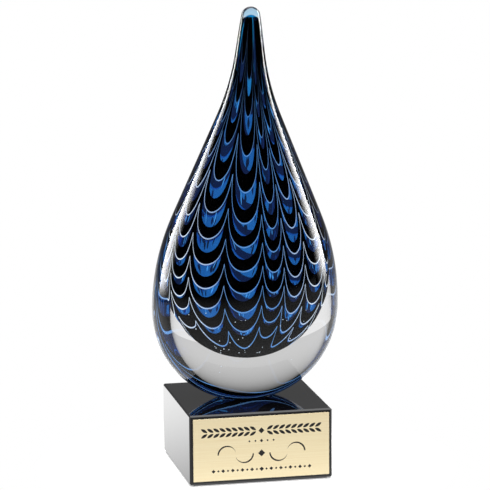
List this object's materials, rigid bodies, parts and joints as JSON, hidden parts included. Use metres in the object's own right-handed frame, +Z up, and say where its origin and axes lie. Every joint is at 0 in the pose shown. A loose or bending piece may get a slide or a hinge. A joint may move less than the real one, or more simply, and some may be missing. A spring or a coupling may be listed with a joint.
{
  "type": "art glass teardrop trophy",
  "caption": "Flattened teardrop award in clear cased glass over a blue core with combed black scallops and white threads, on a black glass block with an engraved plate.",
  "frame": {"origin": "centre of the underside of the block, at the level of the table", "axes": "+Z up along the drop, the plate faces -Y, +X to the right of a person facing the plate"},
  "size_m": [0.106, 0.0808, 0.2586],
  "materials": {
    "black_glass": "polished",
    "felt": "matte",
    "brushed_gold": "brushed",
    "tape": "matte",
    "black_enamel": "satin",
    "adhesive": "gloss",
    "clear_glass": "polished",
    "blue_glass": "polished",
    "black_band_glass": "polished",
    "white_thread_glass": "polished"
  },
  "bodies": {
    "root": {"base_block": "black_glass", "base_felt_pad": "felt", "name_plate": "brushed_gold", "plate_tape": "tape", "engraving_fill": "black_enamel", "drop_bond": "adhesive", "clear_casing": "clear_glass", "blue_core": "blue_glass", "black_band_1": "black_band_glass", "black_band_2": "black_band_glass", "black_band_3": "black_band_glass", "black_band_4": "black_band_glass", "black_band_5": "black_band_glass", "black_band_6": "black_band_glass", "black_band_7": "black_band_glass", "black_band_8": "black_band_glass", "black_band_9": "black_band_glass", "black_band_10": "black_band_glass", "black_band_11": "black_band_glass", "white_thread_1": "white_thread_glass", "white_thread_2": "white_thread_glass", "white_thread_3": "white_thread_glass", "white_thread_4": "white_thread_glass", "white_thread_5": "white_thread_glass", "white_thread_6": "white_thread_glass", "white_thread_7": "white_thread_glass", "white_thread_8": "white_thread_glass", "white_thread_9": "white_thread_glass", "white_thread_10": "white_thread_glass", "white_thread_11": "white_thread_glass"}
  },
  "joints": []
}
